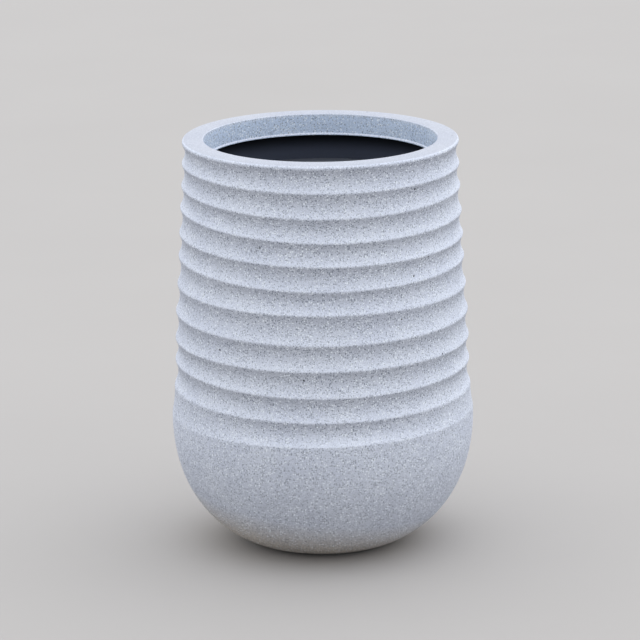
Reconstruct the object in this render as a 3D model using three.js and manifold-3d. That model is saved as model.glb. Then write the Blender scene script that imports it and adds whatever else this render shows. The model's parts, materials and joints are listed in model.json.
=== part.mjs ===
// A tall round planter: a ridged stone-look shell on rubber pads, with a black lift-out liner inside.
// Millimetres, +Z up. The origin is on the ground under the middle of the pot, and -Y is its front.
import * as THREE from 'three';
import { mergeVertices } from 'three/addons/utils/BufferGeometryUtils.js';
import Module from 'manifold-3d';

const wasm = await Module();
wasm.setup();

// Shell, outside
const PLANTER_HEIGHT = 490;
const RIM_RADIUS = 163;
const RIM_ROUND = 3.6;
const RIM_WIDTH = 25;
const MOUTH_ROUND = 1.5;
const RIDGE_DEPTH = 3.9;
const VALLEY_SHARE = 0.48; // where the hollow between two ridges is deepest, from the upper one down
const BELLY_RADIUS = 180;
const BELLY_PROUD = 3.3; // of the lowest ridge
const SHOULDER_STEP = 29.5; // from the lowest ridge down to the bowl's shoulder
const SHOULDER_DROP = 6; // from the shoulder down to the belly's full width
const SHOULDER_EASE = 0.2; // of the shoulder inside the belly
const SHOULDER_LEAN = -2.5; // down to the right
const SHOULDER_FADE = 0.75; // share of the hollow over the shoulder that is filled at the pot's sides
const BOWL_FULLNESS = 0.78; // share of the bowl's height that the belly's upright side pulls on
const FOOT_RADIUS = 85;
const FOOT_PULL = 11; // how far the flat foot carries on into the bowl's curve

// The thrown ridges from the rim down: the step from the one above, how far it dips at front and back, how far
// it leans down to the right, and how far it stands proud of the wall's straight line
const RIDGES = [
  { step: 31.5, dip: 1.5, lean: 1, proud: -0.5 },
  { step: 28, dip: 3, lean: 1, proud: -0.7 },
  { step: 28, dip: 3, lean: 3, proud: -0.3 },
  { step: 28.5, dip: 2, lean: 1.5, proud: 0 },
  { step: 28, dip: 3, lean: 1, proud: 0 },
  { step: 30.5, dip: 0, lean: 0.5, proud: 0.6 },
  { step: 34, dip: 1.5, lean: 0, proud: 1.4 },
  { step: 31.5, dip: 0.5, lean: -0.5, proud: 1 },
  { step: 29.5, dip: 2.5, lean: 0.5, proud: 0.2 },
  { step: 30, dip: 1.5, lean: 0, proud: 0 },
];

// Shell, inside and underneath
const SHELL_WALL = 5; // round the bowl, and behind the hollows where the ridges stand in line
const RIM_WALL = 6;
const SKIRT_DEPTH = 24.6; // from the rim's top to the edge of the lip
const SKIRT_DRAFT = 2;
const SKIRT_WALL = 5;
const LIP_REACH = 1.5;
const LIP_BEVEL = 1.5;
const LIP_EDGE = 1;
const FLOOR_WALL = 6;
const FOOT_RING_WIDTH = 25;
const FOOT_RECESS = 4;
const SEAT_RIB_WALL = 4;
const SEAT_RIB_HEIGHT = 5;
const DRAIN_RADIUS = 11;

// Rubber pads under the foot
const PAD_RADIUS = 10;
const PAD_PROUD = 3;
const PAD_SINK = 3;
const PAD_ROUND = 1;

// Liner
const FLANGE_DROP = 53; // from the rim's top to the flange's top
const FLANGE_WIDTH = 18;
const FLANGE_WALL = 3;
const FLANGE_EDGE = 9;
const FLANGE_ROUND = 1;
const LINER_WALL = 3;
const LINER_FLOOR = 3;
const STAND_INSET = 5; // of the liner's stand inside the shell's foot
const STAND_WALL = 6;
const BASE_OVERHANG = 15; // of the liner's wall outside its stand
const LEDGE_LAP = 4; // of the liner's floor inside its stand
const STAND_HEIGHT = 40;
const NOTCH_WIDTH = 24;
const NOTCH_HEIGHT = 14;

// Folding bails and the pins that hinge them in lugs on the flange
const BAIL_SPREAD = THREE.MathUtils.degToRad(40); // from the bail's middle to its ends
const BAIL_INSET = 10; // from the flange's edge to the middle of the bar
const BAIL_WIDTH = 8;
const BAIL_THICKNESS = 6;
const BAIL_ROUND = 2;
const EYE_RADIUS = 4.5;
const EYE_WIDTH = 9;
const LUG_WIDTH = 9;
const LUG_THICKNESS = 6;
const PIN_RADIUS = 2;
const PIN_HEAD_RADIUS = 3.5;
const PIN_HEAD = 1.5;

// Drain grid, plug and washer
const GRID_THICKNESS = 4;
const GRID_HOLE_RADIUS = 4;
const GRID_BORDER = 24; // from the grid's edge to its outermost holes, which lie inside the liner's ledge
const GRID_PITCH = 25; // between holes, along a ring and from ring to ring
const WASHER_THICKNESS = 2;
const WASHER_WIDTH = 6;
const PLUG_HEAD = 5;
const PLUG_NECK_RADIUS = 5;
const PLUG_NECK = 5;
const PLUG_KNOB_RADIUS = 8;
const PLUG_KNOB = 6;
const PLUG_ROUND = 1;

// Clearances
const SEAT_GAP = 0.3; // between pieces that stand on each other
const SOCKET_GAP = 0.3; // round what is pushed into a socket or hole
const PIVOT_GAP = 0.3; // round the hinge pins
const EYE_LIFT = 0.5; // of the bails' eyes over the flange
const SIDE_GAP = 1; // between a lug and the eye beside it
const RIB_CLEARANCE = 1; // round the liner's stand
const MOUTH_CLEARANCE = 4.5; // round the flange as it passes the lip
const GRID_CLEARANCE = 4; // round the loose grid

// Steps round a full circle, and along a profile
const SHELL_STEPS = 40;
const LINER_STEPS = 40;
const BAIL_STEPS = 72;
const SMALL_STEPS = 20;
const HOLE_STEPS = 10;
const ROUND_STEPS = 3; // along a quarter round
const BOWL_STEPS = 10;
const HOLLOW_STOPS = [0, 0.4 * VALLEY_SHARE, VALLEY_SHARE, (1 + VALLEY_SHARE) / 2]; // between two ridges

// Levels and radii that several pieces share
const footLevel = PAD_PROUD;
const recessLevel = footLevel + FOOT_RECESS;
const floorLevel = recessLevel + FLOOR_WALL;
const mouthRadius = RIM_RADIUS - RIM_WIDTH;
const skirtRadius = mouthRadius - SKIRT_DRAFT;
const lipRadius = skirtRadius - LIP_REACH;
const padCircle = FOOT_RADIUS - FOOT_RING_WIDTH / 2;
const flangeLevel = PLANTER_HEIGHT - FLANGE_DROP;
const flangeRadius = lipRadius - MOUTH_CLEARANCE;
const linerTopRadius = flangeRadius - FLANGE_WIDTH;
const standRadius = FOOT_RADIUS - STAND_INSET;
const standInnerRadius = standRadius - STAND_WALL;
const linerBaseRadius = standRadius + BASE_OVERHANG;
const standLevel = floorLevel + SEAT_GAP;
const linerFloorLevel = standLevel + STAND_HEIGHT;
const ledgeLevel = linerFloorLevel + LINER_FLOOR;
const bailRadius = flangeRadius - BAIL_INSET;
const pivotLevel = flangeLevel + EYE_LIFT + EYE_RADIUS;
const pivotX = bailRadius * Math.cos(BAIL_SPREAD);
const eyeOuterY = (bailRadius + BAIL_WIDTH / 2) * Math.sin(BAIL_SPREAD);
const eyeInnerY = eyeOuterY - EYE_WIDTH;
const lugInnerY = eyeOuterY + SIDE_GAP;
const lugOuterY = lugInnerY + LUG_THICKNESS;

// Finishes
const stoneCoat = { color: 0xc2c8d2, roughness: 0.9, metalness: 0 };
const blackPlastic = { color: 0x17181b, roughness: 0.55, metalness: 0 };
const blackRubber = { color: 0x1d1d1f, roughness: 0.85, metalness: 0 };
const pinSteel = { color: 0xa7aaad, roughness: 0.35, metalness: 1 };

// A quarter round about a centre, from one angle to another, as profile points
function quarterRound(centreRadius, centreHeight, round, from, to) {
  const points = [];
  for (let i = 0; i <= ROUND_STEPS; i += 1) {
    const angle = THREE.MathUtils.lerp(from, to, i / ROUND_STEPS);
    points.push([centreRadius + round * Math.cos(angle), centreHeight + round * Math.sin(angle)]);
  }
  return points;
}

// A profile of [radius, height] points, with the material on its left, turned about the Z axis
function turned(profile, steps) {
  const points = profile.map(([radius, height]) => new THREE.Vector2(radius, height));
  return new THREE.LatheGeometry(points, steps).rotateX(Math.PI / 2);
}

// The same for a profile that goes round a ring and has to close on its first point
function turnedRing(profile, steps) {
  return turned([...profile, profile[0]], steps);
}

function solidOf(geometry) {
  const bare = geometry.clone();
  bare.deleteAttribute('normal');
  bare.deleteAttribute('uv');
  const merged = mergeVertices(bare, 1e-3);
  const index = Array.from(merged.index.array);
  const triangles = [];
  for (let i = 0; i < index.length; i += 3) {
    const [a, b, c] = index.slice(i, i + 3);
    if (a !== b && b !== c && c !== a) triangles.push(a, b, c);
  }
  const mesh = new wasm.Mesh({
    numProp: 3,
    vertProperties: new Float32Array(merged.attributes.position.array),
    triVerts: new Uint32Array(triangles),
  });
  return new wasm.Manifold(mesh);
}

function geometryOf(solid) {
  const mesh = solid.getMesh();
  const geometry = new THREE.BufferGeometry();
  geometry.setAttribute('position', new THREE.BufferAttribute(mesh.vertProperties, 3));
  geometry.setIndex(new THREE.BufferAttribute(mesh.triVerts, 1));
  geometry.computeVertexNormals();
  return geometry;
}

// A plain round bar along Z from one height to another
function roundBar(radius, from, to) {
  return new THREE.CylinderGeometry(radius, radius, to - from, SMALL_STEPS)
    .rotateX(Math.PI / 2)
    .translate(0, 0, (from + to) / 2);
}

function piece(name, geometry, finish) {
  const mesh = new THREE.Mesh(geometry, new THREE.MeshStandardMaterial(finish));
  mesh.name = name;
  return mesh;
}

// The depth of the hollow between two ridges as a share of its deepest, at a share of the way down
function hollowShare(way) {
  const side = way < VALLEY_SHARE ? VALLEY_SHARE : 1 - VALLEY_SHARE;
  return 1 - ((way - VALLEY_SHARE) / side) ** 2;
}

// The crests down the wall: the rim's edge, the ridges and the bowl's shoulder
function wallCrests() {
  const crests = [{ radius: RIM_RADIUS, height: PLANTER_HEIGHT - RIM_ROUND, dip: 0, lean: 0 }];
  const ridgesDrop = RIDGES.reduce((drop, ridge) => drop + ridge.step, 0);
  let drop = 0;
  for (const ridge of RIDGES) {
    drop += ridge.step;
    const lineRadius = THREE.MathUtils.lerp(RIM_RADIUS, BELLY_RADIUS - BELLY_PROUD, drop / ridgesDrop);
    const radius = lineRadius + ridge.proud;
    crests.push({ radius, height: PLANTER_HEIGHT - drop, dip: ridge.dip, lean: ridge.lean });
  }
  const shoulderHeight = PLANTER_HEIGHT - drop - SHOULDER_STEP;
  crests.push({ radius: BELLY_RADIUS - SHOULDER_EASE, height: shoulderHeight, dip: 0, lean: SHOULDER_LEAN });
  return crests;
}

// The bowl's outer curve from the foot up to the belly
function bowlCurve(bellyHeight) {
  return new THREE.CubicBezierCurve(
    new THREE.Vector2(FOOT_RADIUS, footLevel),
    new THREE.Vector2(FOOT_RADIUS + FOOT_PULL, footLevel),
    new THREE.Vector2(BELLY_RADIUS, THREE.MathUtils.lerp(bellyHeight, footLevel, BOWL_FULLNESS)),
    new THREE.Vector2(BELLY_RADIUS, bellyHeight),
  );
}

// The shell's outline, closed round its wall; each point has the dip and lean of the ridges beside it, and how
// far it is filled out at the pot's sides
function shellOutline() {
  const crests = wallCrests();
  const shoulder = crests[crests.length - 1];
  const lowRidge = crests[crests.length - 2];
  const bowl = bowlCurve(shoulder.height - SHOULDER_DROP);
  const outline = [];
  const add = (radius, height, dip = 0, lean = 0, fill = 0) => outline.push({ radius, height, dip, lean, fill });

  // Underside and bowl
  add(DRAIN_RADIUS, recessLevel);
  add(FOOT_RADIUS - FOOT_RING_WIDTH, recessLevel);
  add(FOOT_RADIUS - FOOT_RING_WIDTH, footLevel);
  for (let i = 0; i <= BOWL_STEPS; i += 1) {
    const point = bowl.getPoint(i / BOWL_STEPS);
    add(point.x, point.y);
  }

  // Ridges, from the shoulder up to the rim's edge
  add(shoulder.radius, shoulder.height, shoulder.dip, shoulder.lean);
  for (let i = crests.length - 2; i >= 0; i -= 1) {
    const upper = crests[i];
    const lower = crests[i + 1];
    for (const way of [...HOLLOW_STOPS].reverse()) {
      const hollow = RIDGE_DEPTH * hollowShare(way);
      const radius = THREE.MathUtils.lerp(upper.radius, lower.radius, way) - hollow;
      const height = THREE.MathUtils.lerp(upper.height, lower.height, way);
      const dip = THREE.MathUtils.lerp(upper.dip, lower.dip, way);
      const lean = THREE.MathUtils.lerp(upper.lean, lower.lean, way);
      const fill = lower === shoulder ? SHOULDER_FADE * hollow : 0;
      add(radius, height, dip, lean, fill);
    }
  }

  // Rim, mouth, skirt and lip
  const edge = quarterRound(RIM_RADIUS - RIM_ROUND, PLANTER_HEIGHT - RIM_ROUND, RIM_ROUND, 0, Math.PI / 2);
  edge.slice(1).forEach(([radius, height]) => add(radius, height));
  const mouthCentre = [mouthRadius + MOUTH_ROUND, PLANTER_HEIGHT - MOUTH_ROUND];
  const mouth = quarterRound(...mouthCentre, MOUTH_ROUND, Math.PI / 2, Math.PI);
  mouth.forEach(([radius, height]) => add(radius, height));
  const lipLevel = PLANTER_HEIGHT - SKIRT_DEPTH;
  add(skirtRadius, lipLevel + LIP_BEVEL);
  add(lipRadius, lipLevel);
  add(lipRadius, lipLevel - LIP_EDGE);
  add(skirtRadius + SKIRT_WALL, lipLevel - LIP_EDGE);
  add(mouthRadius + SKIRT_WALL, PLANTER_HEIGHT - RIM_WALL);

  // Inner wall, inner bowl and floor
  const behind = RIDGE_DEPTH + SHELL_WALL;
  add(RIM_RADIUS - behind, PLANTER_HEIGHT - RIM_WALL);
  add(lowRidge.radius - behind, lowRidge.height);
  for (let i = BOWL_STEPS; i >= 0; i -= 1) {
    const point = bowl.getPoint(i / BOWL_STEPS);
    const along = bowl.getTangent(i / BOWL_STEPS);
    const height = point.y + along.x * SHELL_WALL;
    if (height > floorLevel) add(point.x - along.y * SHELL_WALL, height);
  }
  const last = outline[outline.length - 1];
  const ribInner = standRadius + RIB_CLEARANCE;
  add(last.radius - (last.height - floorLevel), floorLevel);
  add(ribInner + SEAT_RIB_WALL, floorLevel);
  add(ribInner + SEAT_RIB_WALL, floorLevel + SEAT_RIB_HEIGHT);
  add(ribInner, floorLevel + SEAT_RIB_HEIGHT);
  add(ribInner, floorLevel);
  add(DRAIN_RADIUS, floorLevel);
  outline.push(outline[0]);
  return outline;
}

function padPlaces() {
  const places = [];
  for (const [depth, y] of [['front', -1], ['back', 1]]) {
    for (const [side, x] of [['left', -1], ['right', 1]]) {
      places.push({ name: `${depth}_${side}`, x: x * padCircle * Math.SQRT1_2, y: y * padCircle * Math.SQRT1_2 });
    }
  }
  return places;
}

// The shell is turned, its ridges are swayed up and down, its lowest hollow is filled out at the sides, and the
// pads' sockets are cut into its foot
function outerShell() {
  const outline = shellOutline();
  const geometry = turned(outline.map(({ radius, height }) => [radius, height]), SHELL_STEPS);
  const position = geometry.attributes.position;
  for (let i = 0; i < position.count; i += 1) {
    const step = Math.floor(i / outline.length) % SHELL_STEPS;
    const round = (2 * Math.PI * step) / SHELL_STEPS;
    const { radius, dip, lean, fill } = outline[i % outline.length];
    const spread = 1 + (fill * Math.sin(round) ** 2) / radius;
    const height = position.getZ(i) - dip * Math.cos(2 * round) - lean * Math.sin(round);
    position.setXYZ(i, position.getX(i) * spread, position.getY(i) * spread, height);
  }
  let shell = solidOf(geometry);
  for (const place of padPlaces()) {
    const socket = roundBar(PAD_RADIUS + SOCKET_GAP, footLevel - PAD_PROUD, footLevel + PAD_SINK);
    shell = shell.subtract(solidOf(socket.translate(place.x, place.y, 0)));
  }
  return piece('outer_shell', geometryOf(shell), stoneCoat);
}

function footPad({ name, x, y }) {
  const profile = [
    [0, 0],
    ...quarterRound(PAD_RADIUS - PAD_ROUND, PAD_ROUND, PAD_ROUND, -Math.PI / 2, 0),
    [PAD_RADIUS, PAD_PROUD + PAD_SINK - SEAT_GAP],
    [0, PAD_PROUD + PAD_SINK - SEAT_GAP],
  ];
  const pad = piece(`foot_pad_${name}`, turned(profile, SMALL_STEPS), blackRubber);
  pad.position.set(x, y, 0);
  return pad;
}

// A lug with a round top over the hinge line, standing on the flange
function lug() {
  const outline = new THREE.Shape();
  outline.moveTo(-LUG_WIDTH / 2, flangeLevel - FLANGE_WALL / 2);
  outline.lineTo(LUG_WIDTH / 2, flangeLevel - FLANGE_WALL / 2);
  outline.lineTo(LUG_WIDTH / 2, pivotLevel);
  outline.absarc(0, pivotLevel, LUG_WIDTH / 2, 0, Math.PI, false);
  const options = { depth: LUG_THICKNESS, bevelEnabled: false, curveSegments: SMALL_STEPS / 4 };
  return new THREE.ExtrudeGeometry(outline, options).rotateX(Math.PI / 2);
}

// The hinge line's hole, right across the liner at one side
function pivotHole(x) {
  return roundBar(PIN_RADIUS + PIVOT_GAP, -flangeRadius, flangeRadius)
    .rotateX(Math.PI / 2)
    .translate(x, 0, pivotLevel);
}

function innerLiner() {
  const profile = [
    [standInnerRadius, standLevel],
    [standRadius, standLevel],
    [standRadius, linerFloorLevel],
    [linerBaseRadius, linerFloorLevel],
    [linerTopRadius, flangeLevel - FLANGE_WALL],
    [flangeRadius - FLANGE_WALL, flangeLevel - FLANGE_WALL],
    [flangeRadius - FLANGE_WALL, flangeLevel - FLANGE_EDGE],
    [flangeRadius, flangeLevel - FLANGE_EDGE],
    ...quarterRound(flangeRadius - FLANGE_ROUND, flangeLevel - FLANGE_ROUND, FLANGE_ROUND, 0, Math.PI / 2),
    [linerTopRadius - LINER_WALL, flangeLevel],
    [linerBaseRadius - LINER_WALL, ledgeLevel],
    [standInnerRadius - LEDGE_LAP, ledgeLevel],
    [standInnerRadius - LEDGE_LAP, linerFloorLevel],
    [standInnerRadius, linerFloorLevel],
  ];
  let liner = solidOf(turnedRing(profile, LINER_STEPS));
  for (const turn of [0, Math.PI / 2]) {
    const notch = new THREE.BoxGeometry(2 * linerBaseRadius, NOTCH_WIDTH, 2 * NOTCH_HEIGHT)
      .rotateZ(turn)
      .translate(0, 0, standLevel);
    liner = liner.subtract(solidOf(notch));
  }
  for (const side of [-1, 1]) {
    for (const y of [-lugInnerY, lugOuterY]) {
      liner = liner.add(solidOf(lug().translate(side * pivotX, y, 0)));
    }
    liner = liner.subtract(solidOf(pivotHole(side * pivotX)));
  }
  return piece('inner_liner', geometryOf(liner), blackPlastic);
}

// A bail is a stretch of a flat ring with an eye at each end
function bail(name, side) {
  const half = { width: BAIL_WIDTH / 2 - BAIL_ROUND, height: BAIL_THICKNESS / 2 - BAIL_ROUND };
  const ringProfile = [
    ...quarterRound(bailRadius + half.width, pivotLevel + half.height, BAIL_ROUND, 0, Math.PI / 2),
    ...quarterRound(bailRadius - half.width, pivotLevel + half.height, BAIL_ROUND, Math.PI / 2, Math.PI),
    ...quarterRound(bailRadius - half.width, pivotLevel - half.height, BAIL_ROUND, Math.PI, 1.5 * Math.PI),
    ...quarterRound(bailRadius + half.width, pivotLevel - half.height, BAIL_ROUND, 1.5 * Math.PI, 2 * Math.PI),
  ];
  const reach = 2 * flangeRadius;
  const wedge = new THREE.Shape();
  wedge.moveTo(0, 0);
  wedge.lineTo(reach * Math.cos(BAIL_SPREAD), -reach * Math.sin(BAIL_SPREAD));
  wedge.lineTo(reach, 0);
  wedge.lineTo(reach * Math.cos(BAIL_SPREAD), reach * Math.sin(BAIL_SPREAD));
  const options = { depth: 2 * BAIL_THICKNESS, bevelEnabled: false };
  const stretch = new THREE.ExtrudeGeometry(wedge, options).translate(0, 0, pivotLevel - BAIL_THICKNESS);
  let bar = solidOf(turnedRing(ringProfile, BAIL_STEPS)).intersect(solidOf(stretch));
  for (const y of [-eyeOuterY, eyeInnerY]) {
    const eye = roundBar(EYE_RADIUS, -y - EYE_WIDTH, -y).rotateX(Math.PI / 2).translate(pivotX, 0, pivotLevel);
    bar = bar.add(solidOf(eye));
  }
  bar = bar.subtract(solidOf(pivotHole(pivotX)));
  const geometry = geometryOf(bar);
  if (side < 0) geometry.rotateZ(Math.PI);
  return piece(name, geometry, blackPlastic);
}

// A hinge pin with its head against the lug's outer face, pointing inwards through the lug and the eye
function hingePin(name, side, end) {
  const shank = lugOuterY - eyeInnerY;
  const profile = [
    [0, -PIN_HEAD - SEAT_GAP],
    [PIN_HEAD_RADIUS, -PIN_HEAD - SEAT_GAP],
    [PIN_HEAD_RADIUS, -SEAT_GAP],
    [PIN_RADIUS, -SEAT_GAP],
    [PIN_RADIUS, shank],
    [0, shank],
  ];
  const pin = piece(name, turned(profile, SMALL_STEPS), pinSteel);
  pin.position.set(side * pivotX, end * lugOuterY, pivotLevel);
  pin.rotation.x = end * Math.PI / 2;
  return pin;
}

// A flat round outline, for a disc or a hole in one
function circle(x, y, radius, steps) {
  const points = [];
  for (let i = 0; i < steps; i += 1) {
    const angle = (2 * Math.PI * i) / steps;
    points.push(new THREE.Vector2(x + radius * Math.cos(angle), y + radius * Math.sin(angle)));
  }
  return points;
}

// The loose grid has rings of drain holes from its border inwards
function drainGrid() {
  const gridRadius = linerBaseRadius - LINER_WALL - GRID_CLEARANCE;
  const disc = new THREE.Shape(circle(0, 0, gridRadius, LINER_STEPS));
  for (let radius = gridRadius - GRID_BORDER; radius > GRID_PITCH / 2; radius -= GRID_PITCH) {
    const holes = Math.floor((2 * Math.PI * radius) / GRID_PITCH);
    for (const hole of circle(0, 0, radius, holes)) {
      disc.holes.push(new THREE.Path(circle(hole.x, hole.y, GRID_HOLE_RADIUS, HOLE_STEPS)));
    }
  }
  const options = { depth: GRID_THICKNESS, bevelEnabled: false };
  const grid = piece('drain_grid', new THREE.ExtrudeGeometry(disc, options), blackPlastic);
  grid.position.z = ledgeLevel + SEAT_GAP;
  return grid;
}

// The plug's stem fills the drain hole, its head sits on the washer, and its knob is pulled from above
function drainPlug() {
  const stemRadius = DRAIN_RADIUS - SOCKET_GAP;
  const headRadius = DRAIN_RADIUS + WASHER_WIDTH;
  const headLevel = floorLevel + SEAT_GAP + WASHER_THICKNESS + SEAT_GAP;
  const knobLevel = headLevel + PLUG_HEAD + PLUG_NECK;
  const profile = [
    [0, recessLevel],
    [stemRadius - PLUG_ROUND, recessLevel],
    [stemRadius, recessLevel + PLUG_ROUND],
    [stemRadius, headLevel],
    [headRadius, headLevel],
    [headRadius, headLevel + PLUG_HEAD - PLUG_ROUND],
    [headRadius - PLUG_ROUND, headLevel + PLUG_HEAD],
    [PLUG_NECK_RADIUS, headLevel + PLUG_HEAD],
    [PLUG_NECK_RADIUS, knobLevel],
    [PLUG_KNOB_RADIUS, knobLevel],
    [PLUG_KNOB_RADIUS, knobLevel + PLUG_KNOB - PLUG_ROUND],
    [PLUG_KNOB_RADIUS - PLUG_ROUND, knobLevel + PLUG_KNOB],
    [0, knobLevel + PLUG_KNOB],
  ];
  return piece('drain_plug', turned(profile, SMALL_STEPS), blackPlastic);
}

function drainSeal() {
  const inner = DRAIN_RADIUS;
  const outer = DRAIN_RADIUS + WASHER_WIDTH;
  const bottom = floorLevel + SEAT_GAP;
  const top = bottom + WASHER_THICKNESS;
  const profile = [[inner, bottom], [outer, bottom], [outer, top], [inner, top]];
  return piece('drain_seal', turnedRing(profile, SMALL_STEPS), blackRubber);
}

const planter = new THREE.Group();
planter.add(outerShell(), ...padPlaces().map(footPad), drainPlug(), drainSeal());

const liner = new THREE.Group();
liner.add(innerLiner(), drainGrid());
for (const [sideName, side] of [['left', -1], ['right', 1]]) {
  liner.add(bail(`handle_${sideName}`, side));
  for (const [endName, end] of [['front', -1], ['back', 1]]) {
    liner.add(hingePin(`handle_pin_${sideName}_${endName}`, side, end));
  }
}
planter.add(liner);

export default planter;
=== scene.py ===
import json
import math
from collections import namedtuple

import bpy
from mathutils import Matrix, Vector, geometry


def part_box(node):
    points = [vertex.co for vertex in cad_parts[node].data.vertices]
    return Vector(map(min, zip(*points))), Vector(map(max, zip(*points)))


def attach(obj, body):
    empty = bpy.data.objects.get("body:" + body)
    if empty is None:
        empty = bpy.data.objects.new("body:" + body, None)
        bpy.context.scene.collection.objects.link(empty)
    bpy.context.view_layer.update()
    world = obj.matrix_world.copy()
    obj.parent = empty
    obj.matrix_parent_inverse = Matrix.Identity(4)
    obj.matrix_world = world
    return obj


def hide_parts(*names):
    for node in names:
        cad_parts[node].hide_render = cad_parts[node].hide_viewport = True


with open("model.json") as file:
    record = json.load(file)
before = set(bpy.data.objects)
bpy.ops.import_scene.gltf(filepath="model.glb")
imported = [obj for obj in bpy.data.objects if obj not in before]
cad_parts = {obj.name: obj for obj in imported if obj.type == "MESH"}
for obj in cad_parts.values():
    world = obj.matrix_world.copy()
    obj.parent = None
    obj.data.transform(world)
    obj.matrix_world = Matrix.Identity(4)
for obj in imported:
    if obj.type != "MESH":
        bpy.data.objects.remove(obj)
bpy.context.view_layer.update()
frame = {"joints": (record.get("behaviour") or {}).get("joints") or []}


# Shell moulding. One hollow moulding of black plastic with a flat rim, ten thrown ridges and a smooth
# bowl, bare inside, under the lip and under the foot. Its floor has a low rib that centres the liner
# and a drain hole, and four round sockets in the foot ring take the pads.
shell_low, shell_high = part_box("outer_shell")
rim_level = shell_high.z
foot_level = shell_low.z
belly_radius = shell_high.x
rim_radius = 0.163
rim_width = 0.025
rim_round = 0.0036
rim_wall = 0.006
edge_round = 0.0012
edge_bevel = edge_round * 0.95
mouth_radius = rim_radius - rim_width
mouth_round = 0.0015
skirt_taper = 0.002
skirt_radius = mouth_radius - skirt_taper
skirt_depth = 0.0246
lip_reach = 0.0015
lip_radius = skirt_radius - lip_reach
lip_level = rim_level - skirt_depth
lip_bevel = 0.0015
lip_edge = 0.001
ridge_depth = 0.0039
ridge_round = 0.0015
valley_share = 0.48
belly_proud = 0.0033
low_ridge_radius = belly_radius - belly_proud
shoulder_step = 0.0295
shoulder_drop = 0.006
shoulder_ease = 0.0002
shoulder_round = 0.0009
shoulder_lean = -0.0025
shoulder_fade = 0.75
bowl_fullness = 0.78
foot_radius = 0.085
foot_pull = 0.011
foot_ring_width = 0.025
floor_height = 0.010
floor_level = foot_level + floor_height
recess_height = 0.004
recess_level = foot_level + recess_height
rib_inner = 0.081
rib_wall = 0.004
rib_height = 0.005
drain_radius = 0.011
wall = 0.005
mould_round = 0.001
mould_turns = 128
mould_bowl_steps = 16
coat_thickness = 0.0008
coat_gap = 0.0001
under_coat = coat_thickness + coat_gap

# The ridges from the rim down: the step from the one above, how far it dips at front and back, how far
# it leans down to the right, and how far it stands proud of the wall's straight line
ridges = [
    (0.0315, 0.0015, 0.0010, -0.0005),
    (0.0280, 0.0030, 0.0010, -0.0007),
    (0.0280, 0.0030, 0.0030, -0.0003),
    (0.0285, 0.0020, 0.0015, 0.0),
    (0.0280, 0.0030, 0.0010, 0.0),
    (0.0305, 0.0, 0.0005, 0.0006),
    (0.0340, 0.0015, 0.0, 0.0014),
    (0.0315, 0.0005, -0.0005, 0.0010),
    (0.0295, 0.0025, 0.0005, 0.0002),
    (0.0300, 0.0015, 0.0, 0.0),
]
Crest = namedtuple("Crest", "radius level round dip lean")


def mix(start, end, share):
    return start + (end - start) * share


def crest_line():
    """The rim's edge, the ridges and the shoulder, from the top down."""
    rim_edge_level = rim_level - rim_round - edge_round
    crests = [Crest(rim_radius, rim_edge_level, edge_bevel, 0.0, 0.0)]
    whole_drop = sum(step for step, dip, lean, proud in ridges)
    drop = 0.0
    for step, dip, lean, proud in ridges:
        drop += step
        radius = mix(rim_radius, low_ridge_radius, drop / whole_drop) + proud
        crests.append(Crest(radius, rim_level - drop, ridge_round, dip, lean))
    shoulder_radius = belly_radius - shoulder_ease
    shoulder_level = rim_level - drop - shoulder_step
    crests.append(Crest(shoulder_radius, shoulder_level, shoulder_round, 0.0, shoulder_lean))
    return crests


def hollow_at(way):
    """The depth of the hollow between two ridges, at a share of the way down."""
    side = valley_share if way < valley_share else 1 - valley_share
    return ridge_depth * (1 - ((way - valley_share) / side) ** 2)


def outside_line(hollow_steps, bowl_steps):
    """The shell's outside from the foot up to the rim's edge, as (radius, level, round) points."""
    crests = crest_line()
    shoulder = crests[-1]
    belly_level = shoulder.level - shoulder_drop
    bowl = geometry.interpolate_bezier(
        Vector((foot_radius, foot_level)),
        Vector((foot_radius + foot_pull, foot_level)),
        Vector((belly_radius, mix(belly_level, foot_level, bowl_fullness))),
        Vector((belly_radius, belly_level)),
        bowl_steps,
    )
    line = [(point.x, point.y, 0.0) for point in bowl]
    line.append(shoulder[:3])
    for upper, lower in zip(crests[-2::-1], crests[:0:-1]):
        for i in range(hollow_steps - 1, 0, -1):
            way = i / hollow_steps
            radius = mix(upper.radius, lower.radius, way) - hollow_at(way)
            line.append((radius, mix(upper.level, lower.level, way), 0.0))
        line.append(upper[:3])
    return line


def set_in(line, depth):
    """The same line moved in from the outside by an even depth, with its corners left sharp."""
    moved = []
    for i, (radius, level, _) in enumerate(line):
        before = line[max(i - 1, 0)]
        after = line[min(i + 1, len(line) - 1)]
        along = Vector((after[0] - before[0], after[1] - before[1])).normalized()
        moved.append((radius - along.y * depth, level + along.x * depth, 0.0))
    return moved


same_place = 1e-5
weld = 1e-6


def pick(piece, kind, passes):
    """Selects the vertices or edges whose ends pass a test of their place, and stays in edit mode."""
    bpy.ops.object.mode_set(mode="EDIT")
    bpy.ops.mesh.select_mode(type=kind)
    bpy.ops.mesh.select_all(action="DESELECT")
    bpy.ops.object.mode_set(mode="OBJECT")
    mesh = piece.data
    if kind == "VERT":
        for vertex in mesh.vertices:
            vertex.select = passes(vertex.co)
    else:
        for edge in mesh.edges:
            edge.select = passes(*(mesh.vertices[i].co for i in edge.vertices))
    bpy.ops.object.mode_set(mode="EDIT")


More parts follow.
